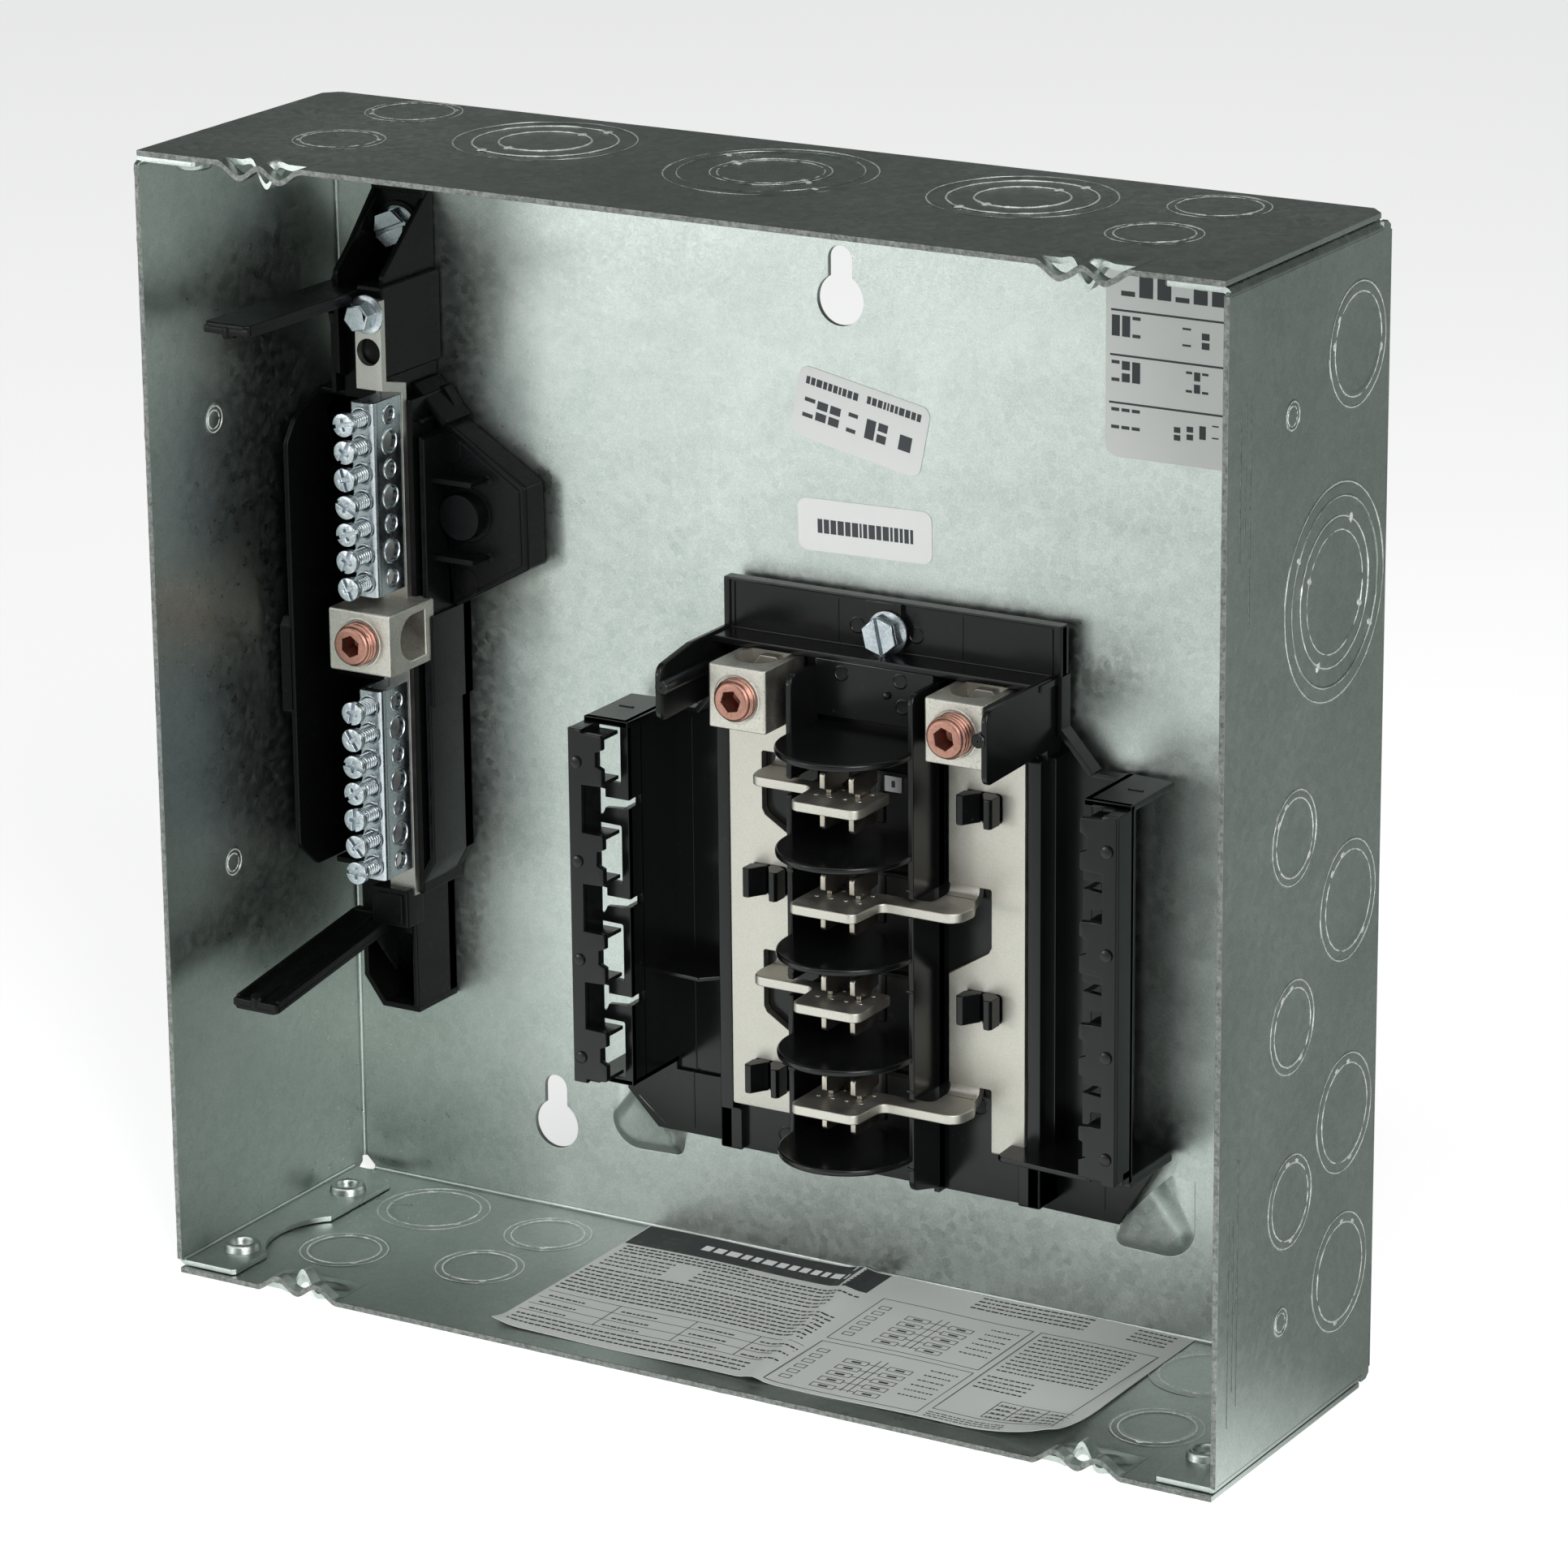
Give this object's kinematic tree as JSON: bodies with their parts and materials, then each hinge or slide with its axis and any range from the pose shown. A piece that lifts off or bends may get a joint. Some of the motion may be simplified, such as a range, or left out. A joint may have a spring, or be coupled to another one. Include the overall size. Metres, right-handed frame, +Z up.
{
  "type": "breaker panel box",
  "caption": "Open sheet-metal breaker panel box with a moulded breaker base, bus bars, stab blades, wire lugs and a neutral bar with terminal screws.",
  "frame": {"origin": "centre of the back's outer face", "axes": "+X to the right seen from the front, +Y into the wall, +Z up; the open front faces -Y"},
  "size_m": [0.29, 0.0826, 0.285],
  "materials": {
    "galvanised_steel": "satin galvanised sheet",
    "black_moulding": "semi-gloss black moulding",
    "plated_bus": "matte tin-plated bar",
    "stab_metal": "sheared plated blades",
    "lug_aluminium": "extruded, tumbled",
    "copper_flash_screw": "copper-flashed steel",
    "strap_aluminium": "rolled strip",
    "zinc_bar": "bright zinc plate",
    "zinc_screw": "bright zinc plate",
    "label_paper": "matte paper with plain printed bars"
  },
  "bodies": {
    "panel": {"enclosure_box": "galvanised_steel", "interior_base": "black_moulding", "left_bus_bar": "plated_bus", "right_bus_bar": "plated_bus", "left_stab_blades": "stab_metal", "right_stab_blades": "stab_metal", "left_line_lug": "lug_aluminium", "right_line_lug": "lug_aluminium", "neutral_carrier": "black_moulding", "neutral_strap": "strap_aluminium", "upper_neutral_bar": "zinc_bar", "lower_neutral_bar": "zinc_bar", "neutral_lug": "lug_aluminium", "base_mounting_screw": "zinc_screw", "carrier_mounting_screw": "zinc_screw", "ratings_label": "label_paper", "line_label": "label_paper", "inspection_label": "label_paper", "wiring_diagram_label": "label_paper"},
    "left_lug_screw": {"left_lug_screw": "copper_flash_screw"},
    "right_lug_screw": {"right_lug_screw": "copper_flash_screw"},
    "neutral_lug_screw": {"neutral_lug_screw": "copper_flash_screw"},
    "bonding_screw": {"bonding_screw": "zinc_screw"},
    "upper_terminal_screw_1": {"upper_terminal_screw_1": "zinc_screw"},
    "upper_terminal_screw_2": {"upper_terminal_screw_2": "zinc_screw"},
    "upper_terminal_screw_3": {"upper_terminal_screw_3": "zinc_screw"},
    "upper_terminal_screw_4": {"upper_terminal_screw_4": "zinc_screw"},
    "upper_terminal_screw_5": {"upper_terminal_screw_5": "zinc_screw"},
    "upper_terminal_screw_6": {"upper_terminal_screw_6": "zinc_screw"},
    "upper_terminal_screw_7": {"upper_terminal_screw_7": "zinc_screw"},
    "lower_terminal_screw_1": {"lower_terminal_screw_1": "zinc_screw"},
    "lower_terminal_screw_2": {"lower_terminal_screw_2": "zinc_screw"},
    "lower_terminal_screw_3": {"lower_terminal_screw_3": "zinc_screw"},
    "lower_terminal_screw_4": {"lower_terminal_screw_4": "zinc_screw"},
    "lower_terminal_screw_5": {"lower_terminal_screw_5": "zinc_screw"},
    "lower_terminal_screw_6": {"lower_terminal_screw_6": "zinc_screw"},
    "lower_terminal_screw_7": {"lower_terminal_screw_7": "zinc_screw"}
  },
  "joints": [
    {"name": "left_lug_screw_travel", "type": "slide", "parent": "panel", "child": "left_lug_screw", "axis": [0, 1, 0], "range_m": [-0.006, 0.0065]},
    {"name": "right_lug_screw_travel", "type": "slide", "parent": "panel", "child": "right_lug_screw", "axis": [0, 1, 0], "range_m": [-0.004, 0.0085]},
    {"name": "neutral_lug_screw_travel", "type": "slide", "parent": "panel", "child": "neutral_lug_screw", "axis": [0, 1, 0], "range_m": [-0.0055, 0.009]},
    {"name": "bonding_screw_travel", "type": "slide", "parent": "panel", "child": "bonding_screw", "axis": [0, 1, 0], "range_m": [-0.012, 0]},
    {"name": "upper_terminal_screw_1_travel", "type": "slide", "parent": "panel", "child": "upper_terminal_screw_1", "axis": [0, 1, 0], "range_m": [-0.005, 0.0054]},
    {"name": "upper_terminal_screw_2_travel", "type": "slide", "parent": "panel", "child": "upper_terminal_screw_2", "axis": [0, 1, 0], "range_m": [-0.005, 0.0054]},
    {"name": "upper_terminal_screw_3_travel", "type": "slide", "parent": "panel", "child": "upper_terminal_screw_3", "axis": [0, 1, 0], "range_m": [-0.005, 0.0054]},
    {"name": "upper_terminal_screw_4_travel", "type": "slide", "parent": "panel", "child": "upper_terminal_screw_4", "axis": [0, 1, 0], "range_m": [-0.005, 0.0054]},
    {"name": "upper_terminal_screw_5_travel", "type": "slide", "parent": "panel", "child": "upper_terminal_screw_5", "axis": [0, 1, 0], "range_m": [-0.005, 0.0054]},
    {"name": "upper_terminal_screw_6_travel", "type": "slide", "parent": "panel", "child": "upper_terminal_screw_6", "axis": [0, 1, 0], "range_m": [-0.005, 0.0054]},
    {"name": "upper_terminal_screw_7_travel", "type": "slide", "parent": "panel", "child": "upper_terminal_screw_7", "axis": [0, 1, 0], "range_m": [-0.005, 0.0054]},
    {"name": "lower_terminal_screw_1_travel", "type": "slide", "parent": "panel", "child": "lower_terminal_screw_1", "axis": [0, 1, 0], "range_m": [-0.005, 0.0054]},
    {"name": "lower_terminal_screw_2_travel", "type": "slide", "parent": "panel", "child": "lower_terminal_screw_2", "axis": [0, 1, 0], "range_m": [-0.005, 0.0054]},
    {"name": "lower_terminal_screw_3_travel", "type": "slide", "parent": "panel", "child": "lower_terminal_screw_3", "axis": [0, 1, 0], "range_m": [-0.005, 0.0054]},
    {"name": "lower_terminal_screw_4_travel", "type": "slide", "parent": "panel", "child": "lower_terminal_screw_4", "axis": [0, 1, 0], "range_m": [-0.005, 0.0054]},
    {"name": "lower_terminal_screw_5_travel", "type": "slide", "parent": "panel", "child": "lower_terminal_screw_5", "axis": [0, 1, 0], "range_m": [-0.005, 0.0054]},
    {"name": "lower_terminal_screw_6_travel", "type": "slide", "parent": "panel", "child": "lower_terminal_screw_6", "axis": [0, 1, 0], "range_m": [-0.005, 0.0054]},
    {"name": "lower_terminal_screw_7_travel", "type": "slide", "parent": "panel", "child": "lower_terminal_screw_7", "axis": [0, 1, 0], "range_m": [-0.005, 0.0054]}
  ]
}
